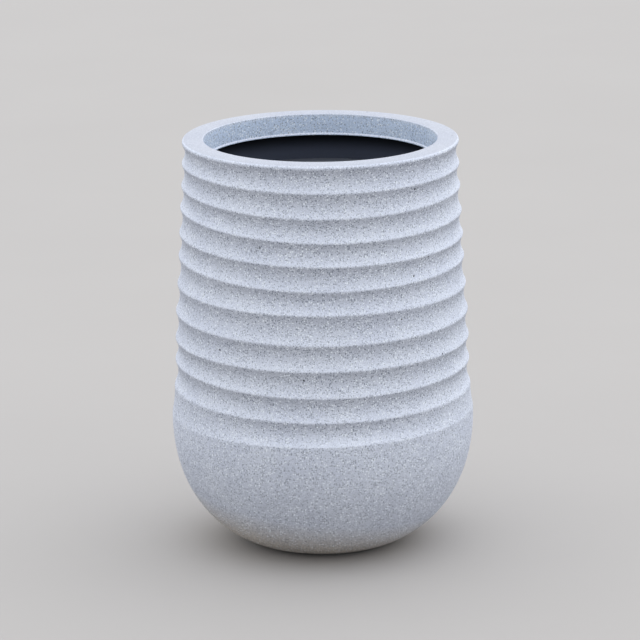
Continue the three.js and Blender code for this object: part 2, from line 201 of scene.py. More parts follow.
def turned(name, line, steps):
    """Draws a line of (radius, level, round) points, rounds its corners and spins it upright."""
    bpy.ops.object.select_all(action="DESELECT")
    bpy.ops.mesh.primitive_plane_add(size=line[0][0] + line[1][0])
    piece = bpy.context.object
    piece.name = piece.data.name = name
    bpy.ops.object.mode_set(mode="EDIT")
    bpy.ops.mesh.select_mode(type="VERT")
    bpy.ops.mesh.select_all(action="SELECT")
    bpy.ops.mesh.merge(type="CENTER")
    bpy.ops.transform.translate(value=(line[0][0], 0, line[0][1]))
    for start, end in zip(line, line[1:]):
        move = (end[0] - start[0], 0, end[1] - start[1])
        bpy.ops.mesh.extrude_region_move(TRANSFORM_OT_translate={"value": move})
    bpy.ops.mesh.select_all(action="SELECT")
    bpy.ops.mesh.remove_doubles(threshold=weld)
    for size in sorted({corner[2] for corner in line} - {0.0}):
        places = [Vector((corner[0], 0, corner[1])) for corner in line if corner[2] == size]
        pick(piece, "VERT", lambda co: any((co - place).length < same_place for place in places))
        bpy.ops.mesh.bevel(offset=size, offset_type="OFFSET", segments=4, affect="VERTICES")
    bpy.ops.mesh.select_all(action="SELECT")
    bpy.ops.mesh.spin(steps=steps, angle=2 * math.pi, center=(0, 0, 0), axis=(0, 0, 1))
    bpy.ops.mesh.select_all(action="SELECT")
    bpy.ops.mesh.remove_doubles(threshold=weld)
    bpy.ops.mesh.normals_make_consistent(inside=False)
    bpy.ops.object.mode_set(mode="OBJECT")
    return piece


def sway(piece):
    """Lets each ridge dip at front and back and lean to one side.

    The lowest hollow, over the shoulder, also runs out towards both sides."""
    crests = crest_line()
    shoulder = crests[-1]
    belly = Crest(belly_radius, shoulder.level - shoulder_drop, 0.0, 0.0, 0.0)
    for vertex in piece.data.vertices:
        x, y, z = vertex.co
        reach = math.hypot(x, y)
        for upper, lower in zip(crests, [*crests[1:], belly]):
            if lower.level < z <= upper.level and reach > mouth_radius:
                way = (upper.level - z) / (upper.level - lower.level)
                dip = mix(upper.dip, lower.dip, way)
                lean = mix(upper.lean, lower.lean, way)
                vertex.co.z -= dip * (y * y - x * x) / reach**2 + lean * x / reach
                if lower is shoulder:
                    spread = 1 + shoulder_fade * hollow_at(way) * (x / reach) ** 2 / reach
                    vertex.co.x *= spread
                    vertex.co.y *= spread


def choose(piece):
    """Makes a piece the only one selected, and the active one."""
    bpy.ops.object.select_all(action="DESELECT")
    piece.select_set(True)
    bpy.context.view_layer.objects.active = piece


def apply_modifier(piece, kind, **settings):
    choose(piece)
    modifier = piece.modifiers.new(kind.lower(), kind)
    for setting, value in settings.items():
        setattr(modifier, setting, value)
    bpy.ops.object.modifier_apply(modifier=modifier.name)


def carve(piece, tool, kind="DIFFERENCE"):
    """Cuts a tool's shape out of a piece, or joins it on, and takes the tool away."""
    apply_modifier(piece, "BOOLEAN", operation=kind, object=tool, solver="EXACT")
    bpy.data.objects.remove(tool)


def smooth(piece, degrees=35):
    choose(piece)
    bpy.ops.object.shade_smooth_by_angle(angle=math.radians(degrees))


full_outside = outside_line(hollow_steps=5, bowl_steps=mould_bowl_steps)
mould_outside = set_in(full_outside, under_coat)
bowl_outside = full_outside[:mould_bowl_steps]
bowl_inside = [point for point in set_in(bowl_outside, wall) if point[1] > floor_level]
bowl_foot_radius, bowl_foot_level, _ = bowl_inside[0]
low_crest = crest_line()[-2]
mould_line = [
    (drain_radius, recess_level, 0.0),
    (foot_radius - foot_ring_width, recess_level, 0.0),
    (foot_radius - foot_ring_width, foot_level, mould_round),
    (foot_radius - mould_round, foot_level, 0.0),
    *mould_outside[1:],
    (rim_radius - under_coat, rim_level - under_coat - rim_round, 0.0),
    (rim_radius - under_coat - rim_round, rim_level - under_coat, 0.0),
    (mouth_radius + mouth_round, rim_level - under_coat, 0.0),
    (mouth_radius + under_coat, rim_level - mouth_round, 0.0),
    (skirt_radius + under_coat, lip_level + lip_bevel - under_coat, 0.0),
    (lip_radius + under_coat, lip_level - under_coat, 0.0),
    (lip_radius + under_coat, lip_level - lip_edge, 0.0),
    (skirt_radius + wall, lip_level - lip_edge, mould_round),
    (mouth_radius + wall, rim_level - rim_wall, 0.0),
    (rim_radius - ridge_depth - wall, rim_level - rim_wall, 0.0),
    (low_crest.radius - ridge_depth - wall, low_crest.level, 0.0),
    *bowl_inside[::-1],
    (bowl_foot_radius - (bowl_foot_level - floor_level), floor_level, 0.0),
    (rib_inner + rib_wall, floor_level, 0.0),
    (rib_inner + rib_wall, floor_level + rib_height, mould_round),
    (rib_inner, floor_level + rib_height, mould_round),
    (rib_inner, floor_level, 0.0),
    (drain_radius, floor_level, 0.0),
    (drain_radius, recess_level, 0.0),
]
moulding = turned("shell_moulding", mould_line, mould_turns)
sway(moulding)

pad_names = [f"foot_pad_{end}_{side}" for end in ("front", "back") for side in ("left", "right")]
socket_gap = 0.0003
socket_turns = 48
for pad_name in pad_names:
    pad_low, pad_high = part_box(pad_name)
    bpy.ops.object.select_all(action="DESELECT")
    bpy.ops.mesh.primitive_cylinder_add(
        vertices=socket_turns,
        radius=(pad_high.x - pad_low.x) / 2 + socket_gap,
        depth=2 * (pad_high.z + socket_gap - foot_level),
        location=((pad_low.x + pad_high.x) / 2, (pad_low.y + pad_high.y) / 2, foot_level),
    )
    carve(moulding, bpy.context.object)
smooth(moulding)


def new_material(name):
    """A material, its node tree and its shader."""
    material = bpy.data.materials.new(name)
    material.use_nodes = True
    return material, material.node_tree, material.node_tree.nodes["Principled BSDF"]


def add_node(tree, kind, **settings):
    node = tree.nodes.new(kind)
    for setting, value in settings.items():
        setattr(node, setting, value)
    return node


def feed(tree, socket, source):
    """Sets an input to a value, or links it to another node's output."""
    if isinstance(source, bpy.types.NodeSocket):
        tree.links.new(source, socket)
    else:
        socket.default_value = source


def object_place(tree):
    return add_node(tree, "ShaderNodeTexCoord").outputs["Object"]


def axes(tree, vector):
    """The X, Y and Z of a vector."""
    node = add_node(tree, "ShaderNodeSeparateXYZ")
    feed(tree, node.inputs["Vector"], vector)
    return node.outputs


def noise(tree, place, scale, detail):
    node = add_node(tree, "ShaderNodeTexNoise")
    settings = {"Vector": place, "Scale": scale, "Detail": detail, "Roughness": 0.55}
    for name, source in settings.items():
        feed(tree, node.inputs[name], source)
    return node.outputs["Fac"]


def ranged(tree, value, low, high, to_low=0.0, to_high=1.0, kind="LINEAR"):
    node = add_node(tree, "ShaderNodeMapRange", interpolation_type=kind)
    ends = {"From Min": low, "From Max": high, "To Min": to_low, "To Max": to_high}
    feed(tree, node.inputs["Value"], value)
    for name, source in ends.items():
        feed(tree, node.inputs[name], source)
    return node.outputs["Result"]


def combined(tree, kind, first, second):
    node = add_node(tree, "ShaderNodeMath", operation=kind)
    feed(tree, node.inputs[0], first)
    feed(tree, node.inputs[1], second)
    return node.outputs["Value"]


def tinted(tree, share, first, second, kind="MIX"):
    """Mixes two colours. A Mix node has its colours at inputs 6 and 7, and their mix at output 2."""
    node = add_node(tree, "ShaderNodeMix", data_type="RGBA", blend_type=kind)
    feed(tree, node.inputs["Factor"], share)
    feed(tree, node.inputs[6], first)
    feed(tree, node.inputs[7], second)
    return node.outputs[2]


def roughen(tree, shader, height, strength, distance):
    """Gives a finish its fine relief."""
    bump = add_node(tree, "ShaderNodeBump")
    feed(tree, bump.inputs["Height"], height)
    feed(tree, bump.inputs["Strength"], strength)
    feed(tree, bump.inputs["Distance"], distance)
    feed(tree, shader.inputs["Normal"], bump.outputs["Normal"])


# Moulded grain, shared by the plastic and rubber pieces: a fine leathery relief, a gloss that wanders
# a little, and a pale bloom in patches
gloss_patches = 45
gloss_wander = 0.06
bloom_patches = 22
moulded_grain = bpy.data.node_groups.new("moulded_grain", "ShaderNodeTree")
grain_inputs = {"Place": "NodeSocketVector", "Scale": "NodeSocketFloat", "Gloss": "NodeSocketFloat"}
for socket, kind in grain_inputs.items():
    moulded_grain.interface.new_socket(socket, in_out="INPUT", socket_type=kind)
for socket in ("Height", "Roughness", "Bloom"):
    moulded_grain.interface.new_socket(socket, in_out="OUTPUT", socket_type="NodeSocketFloat")
grain_in = add_node(moulded_grain, "NodeGroupInput").outputs
grain_out = add_node(moulded_grain, "NodeGroupOutput").inputs
leather = noise(moulded_grain, grain_in["Place"], grain_in["Scale"], detail=3)
feed(moulded_grain, grain_out["Height"], leather)
gloss_noise = noise(moulded_grain, grain_in["Place"], gloss_patches, detail=3)
gloss_drift = ranged(moulded_grain, gloss_noise, 0.3, 0.7, -gloss_wander, gloss_wander)
gloss_here = combined(moulded_grain, "ADD", gloss_drift, grain_in["Gloss"])
feed(moulded_grain, grain_out["Roughness"], gloss_here)
bloom_noise = noise(moulded_grain, grain_in["Place"], bloom_patches, detail=5)
feed(moulded_grain, grain_out["Bloom"], ranged(moulded_grain, bloom_noise, 0.42, 0.75))


def grained_material(name, base, bloom, gloss, scale, relief):
    """A moulded finish: its colour, its paler bloom, and the grain's gloss, scale and relief."""
    material, tree, shader = new_material(name)
    grain = add_node(tree, "ShaderNodeGroup", node_tree=moulded_grain)
    feed(tree, grain.inputs["Place"], object_place(tree))
    feed(tree, grain.inputs["Scale"], scale)
    feed(tree, grain.inputs["Gloss"], gloss)
    feed(tree, shader.inputs["Base Color"], tinted(tree, grain.outputs["Bloom"], base, bloom))
    feed(tree, shader.inputs["Roughness"], grain.outputs["Roughness"])
    roughen(tree, shader, grain.outputs["Height"], strength=0.25, distance=relief)
    return material


# Painted shade: just under the lip the bare wall is painted near black, fading lower down to a paler
# dark grey
painted_shade_black = (0.005, 0.006, 0.009, 1)
painted_shade_bloom = (0.009, 0.010, 0.014, 1)
lower_wall_grey = (0.090, 0.104, 0.150, 1)
plastic_grain = 1300
plastic_relief = 0.0002
full_shade_level = lip_level - 0.006
shade_end_level = lip_level - 0.027
bare_wall = grained_material(
    "bare_wall", painted_shade_black, painted_shade_bloom, gloss=0.60, scale=plastic_grain, relief=plastic_relief
)
wall_tree = bare_wall.node_tree
wall_shader = wall_tree.nodes["Principled BSDF"]
wall_height = axes(wall_tree, object_place(wall_tree))["Z"]
# The painted shade under the lip fades out between these two levels
shade_fade = ranged(wall_tree, wall_height, full_shade_level, shade_end_level, kind="SMOOTHSTEP")
painted_shade_wall = wall_shader.inputs["Base Color"].links[0].from_socket
wall_colour = tinted(wall_tree, shade_fade, painted_shade_wall, lower_wall_grey)
feed(wall_tree, wall_shader.inputs["Base Color"], wall_colour)
feed(wall_tree, wall_shader.inputs["Specular IOR Level"], 0.2)
moulding.data.materials.append(bare_wall)
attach(moulding, "planter")
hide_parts("outer_shell")


# Stone coat. The outside of the shell, its rim, its skirt and its lip carry a sprayed granite-look coat
# under a millimetre thick: pale blue-grey with fine dark and white grains, rough to the touch and
# quite matt.
lip_round = 0.0004
coat_turns = 176
coat_line = outside_line(hollow_steps=9, bowl_steps=30) + [
    (rim_radius, rim_level, rim_round),
    (mouth_radius, rim_level, mouth_round),
    (skirt_radius, lip_level + lip_bevel, lip_round),
    (lip_radius, lip_level, lip_round),
    (lip_radius, lip_level - lip_edge, 0.0),
]
coat = turned("stone_coat", coat_line, coat_turns)
sway(coat)
apply_modifier(coat, "SOLIDIFY", thickness=coat_thickness, offset=-1, use_even_offset=True)
smooth(coat)

pale_grey = (0.565, 0.600, 0.700, 1)
paler_grey = (0.613, 0.648, 0.740, 1)
# The next three tints are painted light: shade on up-facing faces, sky light inside the mouth, and warm
# ground bounce low down
level_shade_tint = (0.668, 0.655, 0.648, 1)
mouth_sky_tint = (0.89, 0.985, 1.07, 1)
ground_bounce_tint = (0.955, 0.825, 0.635, 1)
white_grain = (0.88, 0.925, 0.985, 1)
fine_grain = (0.19, 0.22, 0.28, 1)
dark_grain = (0.10, 0.125, 0.17, 1)
black_speck = (0.02, 0.02, 0.024, 1)
bowl_top = 0.150
ridge_foot = 0.160
stone, stone_tree, stone_shader = new_material("stone_coat")
coords = add_node(stone_tree, "ShaderNodeTexCoord")
place = coords.outputs["Object"]
spot = axes(stone_tree, place)
facing_up = axes(stone_tree, coords.outputs["Normal"])["Z"]

# The grain is read at places that drift by some millimetres, so that its pattern never lines up with
# the pot's faces
drift = 0.010
drift_noise = noise(stone_tree, place, scale=25, detail=2).node.outputs["Color"]
drifted = add_node(stone_tree, "ShaderNodeVectorMath", operation="MULTIPLY_ADD")
feed(stone_tree, drifted.inputs[0], drift_noise)
feed(stone_tree, drifted.inputs[1], (drift, drift, drift))
feed(stone_tree, drifted.inputs[2], place)
grain_place = drifted.outputs["Vector"]

# Painted light and shade: up-facing faces are painted paler and down-facing ones darker, most under the
# crests; up-facing faces also show fewer dark grains
under_crest_shade = ranged(stone_tree, spot["Z"], bowl_top, ridge_foot, 0.915, 0.81)
painted_facing_light = ranged(stone_tree, facing_up, -0.40, 0.56, under_crest_shade, 1.23)
covered = ranged(stone_tree, facing_up, -0.1, 0.9, 1.0, 0.15)
bowl_share = ranged(stone_tree, spot["Z"], bowl_top, ridge_foot, 0.85, 1.0)
grain_share = combined(stone_tree, "MULTIPLY", covered, bowl_share)
white_share = ranged(stone_tree, facing_up, 0.25, 0.75, 0.75, 0.20)

cloud_noise = noise(stone_tree, place, scale=16, detail=4)
clouds = ranged(stone_tree, cloud_noise, 0.35, 0.65)
pale = tinted(stone_tree, clouds, pale_grey, paler_grey)
powder_noise = noise(stone_tree, grain_place, scale=950, detail=3)
powder = ranged(stone_tree, powder_noise, 0.3, 0.7, 0.82, 1.16)
shade = combined(stone_tree, "MULTIPLY", powder, painted_facing_light)
shade_tint = add_node(stone_tree, "ShaderNodeCombineColor")
for channel in ("Red", "Green", "Blue"):
    feed(stone_tree, shade_tint.inputs[channel], shade)
shaded = tinted(stone_tree, 1.0, pale, shade_tint.outputs["Color"], "MULTIPLY")

# Painted shade: faces that look up, the level rim most, are multiplied to a duller grey that holds back
# the bright overhead light on them
level = ranged(stone_tree, facing_up, 0.66, 0.97)
level_shaded = tinted(stone_tree, level, shaded, level_shade_tint, "MULTIPLY")

# Painted light: the skirt inside the mouth is tinted a bluer grey, standing in for the cool sky light
# in its shade
skirt_edge = 0.0004
skirt_below = 0.40
skirt_above = 0.41
level_place = add_node(stone_tree, "ShaderNodeVectorMath", operation="MULTIPLY")
feed(stone_tree, level_place.inputs[0], place)
feed(stone_tree, level_place.inputs[1], (1, 1, 0))
across = add_node(stone_tree, "ShaderNodeVectorMath", operation="LENGTH")
feed(stone_tree, across.inputs[0], level_place.outputs["Vector"])
inside = ranged(stone_tree, across.outputs["Value"], mouth_radius, mouth_radius - skirt_edge)
upright = ranged(stone_tree, facing_up, 0.3, 0.6, 1.0, 0.0)
above_bowl = ranged(stone_tree, spot["Z"], skirt_below, skirt_above)
skirt_face = combined(stone_tree, "MULTIPLY", upright, above_bowl)
in_mouth = combined(stone_tree, "MULTIPLY", inside, skirt_face)
with_mouth_light = tinted(stone_tree, in_mouth, level_shaded, mouth_sky_tint, "MULTIPLY")

# Painted shade and warm bounce from the ground: the lowest few centimetres are multiplied darker and
# warmer, reaching higher on the left
ground_shade_top = 0.058
ground_shade_full = 0.015
ground_shade_lean = 0.11
leaned = combined(stone_tree, "MULTIPLY", spot["X"], ground_shade_lean)
ground_shade_height = combined(stone_tree, "ADD", spot["Z"], leaned)
near_ground = ranged(stone_tree, ground_shade_height, ground_shade_top, ground_shade_full)
with_ground_shade = tinted(stone_tree, near_ground, with_mouth_light, ground_bounce_tint, "MULTIPLY")


def grains(tree, place, scale, chosen, edge, soft):
    """A mask of scattered grains: a chosen share of the cells, each with a spot as wide as edge."""
    cells = add_node(tree, "ShaderNodeTexVoronoi")
    feed(tree, cells.inputs["Vector"], place)
    feed(tree, cells.inputs["Scale"], scale)
    draw = add_node(tree, "ShaderNodeSeparateColor")
    feed(tree, draw.inputs["Color"], cells.outputs["Color"])
    picked = ranged(tree, draw.outputs["Red"], 1 - chosen, 1 - 0.5 * chosen)
    grain = ranged(tree, cells.outputs["Distance"], edge + soft, edge - soft, kind="SMOOTHSTEP")
    return combined(tree, "MULTIPLY", grain, picked)


white_cells = grains(stone_tree, grain_place, scale=450, chosen=0.40, edge=0.42, soft=0.10)
fine_cells = grains(stone_tree, grain_place, scale=1050, chosen=0.50, edge=0.45, soft=0.12)
dark_cells = grains(stone_tree, grain_place, scale=520, chosen=0.50, edge=0.43, soft=0.10)
specks = grains(stone_tree, grain_place, scale=62, chosen=0.15, edge=0.075, soft=0.015)
white_grains = combined(stone_tree, "MULTIPLY", white_cells, white_share)
fine_grains = combined(stone_tree, "MULTIPLY", fine_cells, grain_share)
dark_grains = combined(stone_tree, "MULTIPLY", dark_cells, grain_share)
fine_strength = combined(stone_tree, "MULTIPLY", fine_grains, 0.50)
dark_strength = combined(stone_tree, "MULTIPLY", dark_grains, 0.74)
with_white = tinted(stone_tree, white_grains, with_ground_shade, white_grain)
with_fine = tinted(stone_tree, fine_strength, with_white, fine_grain)
with_dark = tinted(stone_tree, dark_strength, with_fine, dark_grain)
with_specks = tinted(stone_tree, specks, with_dark, black_speck)
feed(stone_tree, stone_shader.inputs["Base Color"], with_specks)
matt_noise = noise(stone_tree, place, scale=300, detail=2)
matt = ranged(stone_tree, matt_noise, 0.3, 0.7, 0.78, 0.95)
feed(stone_tree, stone_shader.inputs["Roughness"], matt)
feed(stone_tree, stone_shader.inputs["Specular IOR Level"], 0.3)
pits = combined(stone_tree, "MULTIPLY", dark_grains, 0.4)
bumps = noise(stone_tree, grain_place, scale=700, detail=3)
relief = combined(stone_tree, "SUBTRACT", bumps, pits)
roughen(stone_tree, stone_shader, relief, strength=0.35, distance=0.0006)
coat.data.materials.append(stone)
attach(coat, "planter")
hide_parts("outer_shell")


# Foot pads. Four round pads of black rubber are glued into the sockets in the foot ring. They lift the
# pot just off the ground, so that drained water runs out from under it.
pad_low, pad_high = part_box(pad_names[0])
pad_radius = (pad_high.x - pad_low.x) / 2
pad_round = 0.001
dish_radius = pad_radius * 0.55
dish_edge = pad_radius * 0.65
dish_depth = 0.0004
dish_round = 0.0003
pad_turns = 48
pad_line = [
    (0.0, dish_depth, 0.0),
    (dish_radius, dish_depth, 0.0),
    (dish_edge, 0.0, dish_round),
    (pad_radius, 0.0, pad_round),
    (pad_radius, pad_high.z, pad_round / 2),
    (0.0, pad_high.z, 0.0),
]
rubber_black = (0.020, 0.020, 0.021, 1)
rubber_bloom = (0.036, 0.036, 0.037, 1)
black_rubber = grained_material(
    "black_rubber", rubber_black, rubber_bloom, gloss=0.74, scale=900, relief=0.0003
)
first_pad = turned("rubber_pad", pad_line, pad_turns)
smooth(first_pad)
first_pad.data.materials.append(black_rubber)


def copied(piece, name, shift):
    """A copy with its own mesh, moved to its place in the mesh."""
    choose(piece)
    bpy.ops.object.duplicate(linked=False)
    twin = bpy.context.object
    twin.name = twin.data.name = name
    bpy.ops.transform.translate(value=shift)
    bpy.ops.object.transform_apply(location=True, rotation=True, scale=True)
    return twin


for pad_name in pad_names:
    pad_low, pad_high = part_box(pad_name)
    middle = (pad_low + pad_high) / 2
    twin_name = pad_name.replace("foot_pad", "rubber_pad")
    pad = copied(first_pad, twin_name, (middle.x, middle.y, 0))
    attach(pad, "planter")
    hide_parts(pad_name)
bpy.data.objects.remove(first_pad)


# Drain plug and seal. A turned plug of black plastic is pushed into the drain hole from inside. Its
# head presses on a flat rubber washer, and its knob is what the fingers pull.
plug_low, plug_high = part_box("drain_plug")
seal_low, seal_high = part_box("drain_seal")
seal_gap = 0.0003
stem_radius = drain_radius - socket_gap
head_radius = plug_high.x
head_level = seal_high.z + seal_gap
head_height = 0.005
neck_radius = 0.005
knob_radius = 0.008
knob_height = 0.006
plug_round = 0.001
plug_turns = 64
plug_line = [
    (0.0, plug_low.z, 0.0),
    (stem_radius, plug_low.z, plug_round),
    (stem_radius, head_level, 0.0),
    (head_radius, head_level, plug_round / 2),
    (head_radius, head_level + head_height, plug_round),
    (neck_radius, head_level + head_height, plug_round),
    (neck_radius, plug_high.z - knob_height, plug_round),
    (knob_radius, plug_high.z - knob_height, plug_round),
    (knob_radius, plug_high.z, plug_round),
    (0.0, plug_high.z, 0.0),
]
plastic_black = (0.050, 0.055, 0.070, 1)
plastic_bloom = (0.062, 0.068, 0.085, 1)
black_plastic = grained_material(
    "black_plastic",
    plastic_black,
    plastic_bloom,
    gloss=0.50,
    scale=plastic_grain,
    relief=plastic_relief,
)
plug = turned("pull_plug", plug_line, plug_turns)
smooth(plug)
plug.data.materials.append(black_plastic)
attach(plug, "drain_plug")
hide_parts("drain_plug")

seal_round = 0.0004
seal_line = [
    (drain_radius, seal_low.z, seal_round),
    (seal_high.x, seal_low.z, seal_round),
    (seal_high.x, seal_high.z, seal_round),
    (drain_radius, seal_high.z, seal_round),
    (drain_radius, seal_low.z, seal_round),
]
seal = turned("rubber_washer", seal_line, plug_turns)
smooth(seal)
seal.data.materials.append(black_rubber)
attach(seal, "drain_plug")
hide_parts("drain_seal")


# Liner. A black plastic bucket that holds the soil stands inside the shell and lifts out. Its level
# flange is the ring that shows inside the mouth. Lugs moulded on the flange carry the bails' pins, and
# notches in its stand let water through.
liner_low, liner_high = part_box("inner_liner")
flange_depth = 0.053
flange_level = rim_level - flange_depth
flange_radius = liner_high.x
flange_width = 0.018
flange_wall = 0.003
flange_edge = 0.009
liner_wall = 0.003
stand_level = liner_low.z
stand_radius = 0.080
stand_wall = 0.006
stand_height = 0.040
base_radius = 0.095
ledge_radius = 0.070
ledge_level = stand_level + stand_height + liner_wall
liner_top_radius = flange_radius - flange_width
liner_turns = 128
liner_line = [
    (stand_radius - stand_wall, stand_level, mould_round),
    (stand_radius, stand_level, mould_round),
    (stand_radius, stand_level + stand_height, 0.0),
    (base_radius, stand_level + stand_height, mould_round),
    (liner_top_radius, flange_level - flange_wall, mould_round),
    (flange_radius - flange_wall, flange_level - flange_wall, mould_round),
    (flange_radius - flange_wall, flange_level - flange_edge, mould_round / 2),
    (flange_radius, flange_level - flange_edge, mould_round / 2),
    (flange_radius, flange_level, mould_round * 1.5),
    (liner_top_radius - liner_wall, flange_level, mould_round * 2),
    (base_radius - liner_wall, ledge_level, mould_round),
    (ledge_radius, ledge_level, mould_round / 2),
    (ledge_radius, stand_level + stand_height, mould_round / 2),
    (stand_radius - stand_wall, stand_level + stand_height, 0.0),
    (stand_radius - stand_wall, stand_level, mould_round),
]
liner = turned("soil_liner", liner_line, liner_turns)


def block(size, middle, edges=0.0):
    """A rectangular block of that size, with its edges eased."""
    bpy.ops.object.select_all(action="DESELECT")
    bpy.ops.mesh.primitive_cube_add(size=1, location=middle)
    piece = bpy.context.object
    bpy.ops.transform.resize(value=size)
    bpy.ops.object.transform_apply(location=True, rotation=True, scale=True)
    if edges:
        bpy.ops.object.mode_set(mode="EDIT")
        bpy.ops.mesh.select_all(action="SELECT")
        bpy.ops.mesh.bevel(offset=edges, segments=3, affect="EDGES")
        bpy.ops.object.mode_set(mode="OBJECT")
    return piece


notch_width = 0.024
notch_height = 0.014
for notch_size in ((2 * base_radius, notch_width), (notch_width, 2 * base_radius)):
    notch = block((*notch_size, 2 * notch_height), (0, 0, stand_level), mould_round * 2)
    carve(liner, notch)

hinges = {}
for joint in frame["joints"]:
    if joint["type"] == "hinge":
        hinges[joint["child"]] = Vector(joint["pos_m"])
hinge_reach = hinges["handle_right"].x
pivot_level = hinges["handle_right"].z
eye_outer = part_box("handle_right")[1].y
lug_width = 0.009
lug_thickness = 0.006
lug_gap = 0.001
lug_round = lug_width * 0.499
lug_middle = eye_outer + lug_gap + lug_thickness / 2
pin_hole_radius = 0.0023


def lug(x, y):
    """A lug with a round top over the hinge line: a block with two top edges rounded right over."""
    low = flange_level - flange_wall / 2
    high = pivot_level + lug_width / 2
    piece = block((lug_width, lug_thickness, high - low), (x, y, (low + high) / 2))

    def is_top_side(a, b):
        return min(a.z, b.z) > high - same_place and abs(a.y - b.y) > lug_thickness / 2

    pick(piece, "EDGE", is_top_side)
    bpy.ops.mesh.bevel(offset=lug_round, segments=8, affect="EDGES")
    bpy.ops.object.mode_set(mode="OBJECT")
    return piece


def crosswise_bar(radius, x, z, low, high):
    """A round bar along Y."""
    bpy.ops.object.select_all(action="DESELECT")
    bpy.ops.mesh.primitive_cylinder_add(
        vertices=32,
        radius=radius,
        depth=high - low,
        location=(x, (low + high) / 2, z),
        rotation=(math.pi / 2, 0, 0),
    )
    bpy.ops.object.transform_apply(location=True, rotation=True, scale=True)
    return bpy.context.object


for pivot in hinges.values():
    for end in (-1, 1):
        carve(liner, lug(pivot.x, end * lug_middle), "UNION")
    pin_hole = crosswise_bar(pin_hole_radius, pivot.x, pivot.z, -flange_radius, flange_radius)
    carve(liner, pin_hole)
smooth(liner)
liner.data.materials.append(black_plastic)
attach(liner, "liner")
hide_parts("inner_liner")


# Drain grid. A loose flat disc of black plastic with rings of moulded holes lies on the liner's floor
# ledge. It keeps the soil in and lets the water through.
grid_low, grid_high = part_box("drain_grid")
grid_radius = grid_high.x
grid_thickness = grid_high.z - grid_low.z
grid_hole_radius = 0.004
grid_border = 0.024
grid_pitch = 0.025
grid_round = 0.0005
grid_round_angle = math.radians(60)
grid_turns = 128
hole_turns = 24
bpy.ops.object.select_all(action="DESELECT")
bpy.ops.mesh.primitive_cylinder_add(
    vertices=grid_turns,
    radius=grid_radius,
    depth=grid_thickness,
    location=(0, 0, (grid_low.z + grid_high.z) / 2),
)
grid = bpy.context.object
grid.name = grid.data.name = "perforated_disc"
bpy.ops.object.transform_apply(location=True, rotation=True, scale=True)
hole_makers = []
ring = grid_radius - grid_border
while ring > grid_pitch / 2:
    count = math.floor(2 * math.pi * ring / grid_pitch)
    for i in range(count):
        turn = 2 * math.pi * i / count
        bpy.ops.mesh.primitive_cylinder_add(
            vertices=hole_turns,
            radius=grid_hole_radius,
            depth=4 * grid_thickness,
            location=(ring * math.cos(turn), ring * math.sin(turn), grid_low.z),
        )
        hole_makers.append(bpy.context.object)
    ring -= grid_pitch
choose(hole_makers[0])
for hole_maker in hole_makers:
    hole_maker.select_set(True)
bpy.ops.object.join()
bpy.ops.object.transform_apply(location=True, rotation=True, scale=True)
carve(grid, hole_makers[0])
apply_modifier(
    grid, "BEVEL", width=grid_round, segments=2, limit_method="ANGLE", angle_limit=grid_round_angle
)
smooth(grid, degrees=20)
grid.data.materials.append(black_plastic)
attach(grid, "drain_grid")
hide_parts("drain_grid")


# Bails. Two bent bars of black plastic, each with an eye at both ends, swing on pins in the flange's
# lugs. Folded, they lie round the flange; raised, they are what the full liner is lifted by.
bail_width = 0.008
bail_thickness = 0.006
bail_round = 0.002
bail_spread = math.radians(40)
bail_steps = 48
bail_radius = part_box("handle_right")[1].x - bail_width / 2
eye_radius = 0.0045
eye_width = 0.009


def bail(name, side):
    """The bar's rounded section is spun along the flange, and an eye is joined on at each end."""
    bpy.ops.object.select_all(action="DESELECT")
    bpy.ops.mesh.primitive_plane_add(size=1, rotation=(math.pi / 2, 0, 0))
    piece = bpy.context.object
    piece.name = piece.data.name = name
    bpy.ops.transform.resize(value=(bail_width, 1, bail_thickness))
    bpy.ops.transform.translate(value=(side * bail_radius, 0, pivot_level))
    bpy.ops.object.transform_apply(location=True, rotation=True, scale=True)
    bpy.ops.object.mode_set(mode="EDIT")
    bpy.ops.mesh.select_all(action="SELECT")
    bpy.ops.mesh.bevel(offset=bail_round, segments=5, affect="VERTICES")
    bpy.ops.mesh.select_all(action="SELECT")
    bpy.ops.transform.rotate(value=-bail_spread, orient_axis="Z", center_override=(0, 0, 0))
    bpy.ops.mesh.spin(steps=bail_steps, angle=2 * bail_spread, center=(0, 0, 0), axis=(0, 0, 1))
    bpy.ops.mesh.select_all(action="SELECT")
    bpy.ops.mesh.normals_make_consistent(inside=False)
    bpy.ops.object.mode_set(mode="OBJECT")
    hinge_x = side * hinge_reach
    for end in (-1, 1):
        low, high = sorted((end * eye_outer, end * (eye_outer - eye_width)))
        carve(piece, crosswise_bar(eye_radius, hinge_x, pivot_level, low, high), "UNION")
    carve(piece, crosswise_bar(pin_hole_radius, hinge_x, pivot_level, -eye_outer, eye_outer))
    smooth(piece)
    piece.data.materials.append(black_plastic)
    return piece


for side_name, side in (("left", -1), ("right", 1)):
    handle = bail(f"{side_name}_bail", side)
    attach(handle, f"handle_{side_name}")
    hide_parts(f"handle_{side_name}")


# Pins. Each bail hangs on two short pins of turned stainless steel, pushed through the lugs from
# outside, with a flat head against the lug.
pin_low, pin_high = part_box("handle_pin_right_back")
pin_length = pin_high.y - pin_low.y
pin_radius = 0.002
pin_head_radius = (pin_high.x - pin_low.x) / 2
pin_head_height = 0.0015
pin_round = 0.0003
pin_turns = 40
pin_line = [
    (0.0, 0.0, 0.0),
    (pin_radius, 0.0, pin_round),
    (pin_radius, pin_length - pin_head_height, 0.0),
    (pin_head_radius, pin_length - pin_head_height, pin_round),
    (pin_head_radius, pin_length, pin_round),
    (0.0, pin_length, 0.0),
]
first_pin = turned("hinge_pin", pin_line, pin_turns)
smooth(first_pin)

